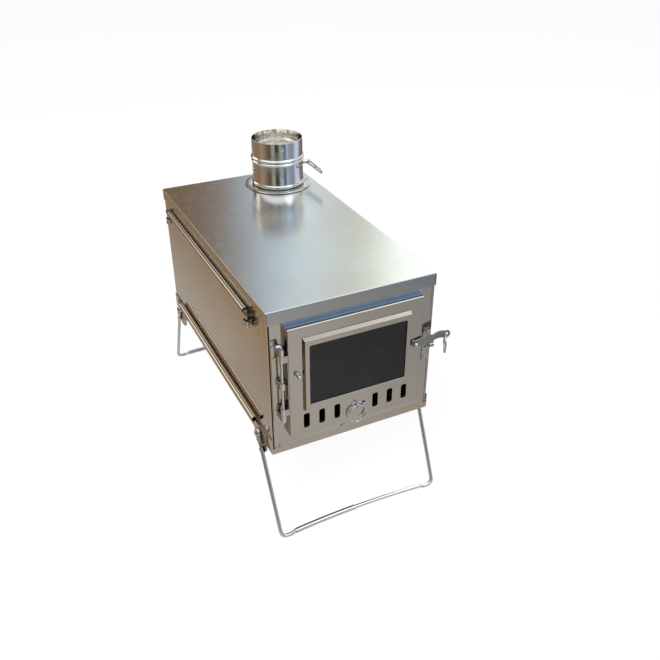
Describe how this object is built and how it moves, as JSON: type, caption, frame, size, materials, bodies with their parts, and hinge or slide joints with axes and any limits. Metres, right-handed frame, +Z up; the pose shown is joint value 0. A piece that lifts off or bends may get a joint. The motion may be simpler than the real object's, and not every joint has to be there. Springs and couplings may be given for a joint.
{
  "type": "tent wood stove",
  "caption": "Flat-packing sheet-metal tent stove with a lift-off lid, glazed door, air slider, flue collar with damper and two folding wire legs.",
  "frame": {"origin": "on the floor under the centre of the whole stove's box, legs unfolded", "axes": "+Z up, the door faces -Y, the flue stands near the +X +Y corner"},
  "size_m": [0.2304, 0.4326, 0.3605],
  "materials": {
    "lid_steel": "bright rolled sheet",
    "sheet_steel": "bright rolled sheet",
    "bright_steel": "polished",
    "leg_wire": "polished wire",
    "inner_steel": "heat-dulled sheet",
    "glass": "heat-proof glass, clear over a dark firebox"
  },
  "bodies": {
    "firebox_body": {"tray": "sheet_steel", "lid": "lid_steel", "left_side_panel": "sheet_steel", "right_side_panel": "sheet_steel", "back_panel": "sheet_steel", "front_panel": "sheet_steel", "grate": "inner_steel", "flue_flange": "lid_steel", "flue_collar": "bright_steel", "left_clamp_rod": "bright_steel", "right_clamp_rod": "bright_steel", "front_left_clamp_tab": "sheet_steel", "rear_left_clamp_tab": "sheet_steel", "front_right_clamp_tab": "sheet_steel", "rear_right_clamp_tab": "sheet_steel", "frame_hinge_leaf": "sheet_steel", "hinge_pin": "bright_steel", "latch_catch": "sheet_steel", "front_left_leg_bracket": "sheet_steel", "front_right_leg_bracket": "sheet_steel", "rear_left_leg_bracket": "sheet_steel", "rear_right_leg_bracket": "sheet_steel"},
    "door": {"door_panel": "sheet_steel", "window_frame": "sheet_steel", "window_glass": "glass", "window_stud": "bright_steel", "latch_stud": "bright_steel", "glass_bar": "inner_steel", "door_hinge_leaf": "sheet_steel", "lower_slider_rail": "inner_steel", "upper_slider_rail": "inner_steel"},
    "latch": {"latch_arm": "sheet_steel"},
    "latch_pull": {"latch_ring": "bright_steel"},
    "air_control": {"air_slider": "inner_steel", "slider_eye": "bright_steel"},
    "air_pull": {"slider_ring": "bright_steel"},
    "damper": {"damper_plate": "inner_steel", "damper_shaft": "bright_steel", "damper_handle": "bright_steel"},
    "front_left_bolt": {"front_left_swing_bolt": "bright_steel"},
    "rear_left_bolt": {"rear_left_swing_bolt": "bright_steel"},
    "front_right_bolt": {"front_right_swing_bolt": "bright_steel"},
    "rear_right_bolt": {"rear_right_swing_bolt": "bright_steel"},
    "front_left_nut": {"front_left_clamp_nut": "bright_steel"},
    "rear_left_nut": {"rear_left_clamp_nut": "bright_steel"},
    "front_right_nut": {"front_right_clamp_nut": "bright_steel"},
    "rear_right_nut": {"rear_right_clamp_nut": "bright_steel"},
    "front_leg": {"front_leg_left": "leg_wire", "front_leg_right": "leg_wire", "front_leg_sleeve": "leg_wire"},
    "rear_leg": {"rear_leg_left": "leg_wire", "rear_leg_right": "leg_wire", "rear_leg_sleeve": "leg_wire"}
  },
  "joints": [
    {"name": "door_swing", "type": "hinge", "parent": "firebox_body", "child": "door", "pos_m": [-0.09392, -0.1965, 0.20485], "axis": [0, 0, -1], "range_deg": [0, 150]},
    {"name": "latch_lift", "type": "hinge", "parent": "door", "child": "latch", "pos_m": [0.06688, -0.20085, 0.2161], "axis": [0, -1, 0], "range_deg": [-5.5, 40]},
    {"name": "latch_ring_swing", "type": "hinge", "parent": "latch", "child": "latch_pull", "pos_m": [0.10918, -0.20085, 0.2172], "axis": [0, -1, 0], "range_deg": [-45, 45]},
    {"name": "air_slide", "type": "slide", "parent": "door", "child": "air_control", "axis": [1, 0, 0], "range_m": [0, 0.0095]},
    {"name": "air_ring_flap", "type": "hinge", "parent": "air_control", "child": "air_pull", "pos_m": [-0.00512, -0.2014, 0.1532], "axis": [-1, 0, 0], "range_deg": [0, 80]},
    {"name": "damper_turn", "type": "hinge", "parent": "firebox_body", "child": "damper", "pos_m": [0.04628, 0.1412, 0.3188], "axis": [-1, 0, 0], "range_deg": [0, 90]},
    {"name": "front_left_bolt_swing", "type": "hinge", "parent": "firebox_body", "child": "front_left_bolt", "pos_m": [-0.11052, -0.1433, 0.2725], "axis": [0, 1, 0], "range_deg": [0, 110]},
    {"name": "rear_left_bolt_swing", "type": "hinge", "parent": "firebox_body", "child": "rear_left_bolt", "pos_m": [-0.11052, 0.1578, 0.2725], "axis": [0, 1, 0], "range_deg": [0, 110]},
    {"name": "front_right_bolt_swing", "type": "hinge", "parent": "firebox_body", "child": "front_right_bolt", "pos_m": [0.10028, -0.1433, 0.2725], "axis": [0, -1, 0], "range_deg": [0, 110]},
    {"name": "rear_right_bolt_swing", "type": "hinge", "parent": "firebox_body", "child": "rear_right_bolt", "pos_m": [0.10028, 0.1578, 0.2725], "axis": [0, -1, 0], "range_deg": [0, 110]},
    {"name": "front_left_nut_turn", "type": "hinge", "parent": "front_left_bolt", "child": "front_left_nut", "pos_m": [-0.11052, -0.1433, 0.2642], "axis": [0, 0, 1], "continuous": true},
    {"name": "rear_left_nut_turn", "type": "hinge", "parent": "rear_left_bolt", "child": "rear_left_nut", "pos_m": [-0.11052, 0.1578, 0.2642], "axis": [0, 0, 1], "continuous": true},
    {"name": "front_right_nut_turn", "type": "hinge", "parent": "front_right_bolt", "child": "front_right_nut", "pos_m": [0.10028, -0.1433, 0.2642], "axis": [0, 0, 1], "continuous": true},
    {"name": "rear_right_nut_turn", "type": "hinge", "parent": "rear_right_bolt", "child": "rear_right_nut", "pos_m": [0.10028, 0.1578, 0.2642], "axis": [0, 0, 1], "continuous": true},
    {"name": "front_leg_fold", "type": "hinge", "parent": "firebox_body", "child": "front_leg", "pos_m": [-0.00512, -0.157, 0.1195], "axis": [1, 0, 0], "range_deg": [0, 108]},
    {"name": "rear_leg_fold", "type": "hinge", "parent": "firebox_body", "child": "rear_leg", "pos_m": [-0.00512, 0.157, 0.1195], "axis": [-1, 0, 0], "range_deg": [0, 108]}
  ]
}
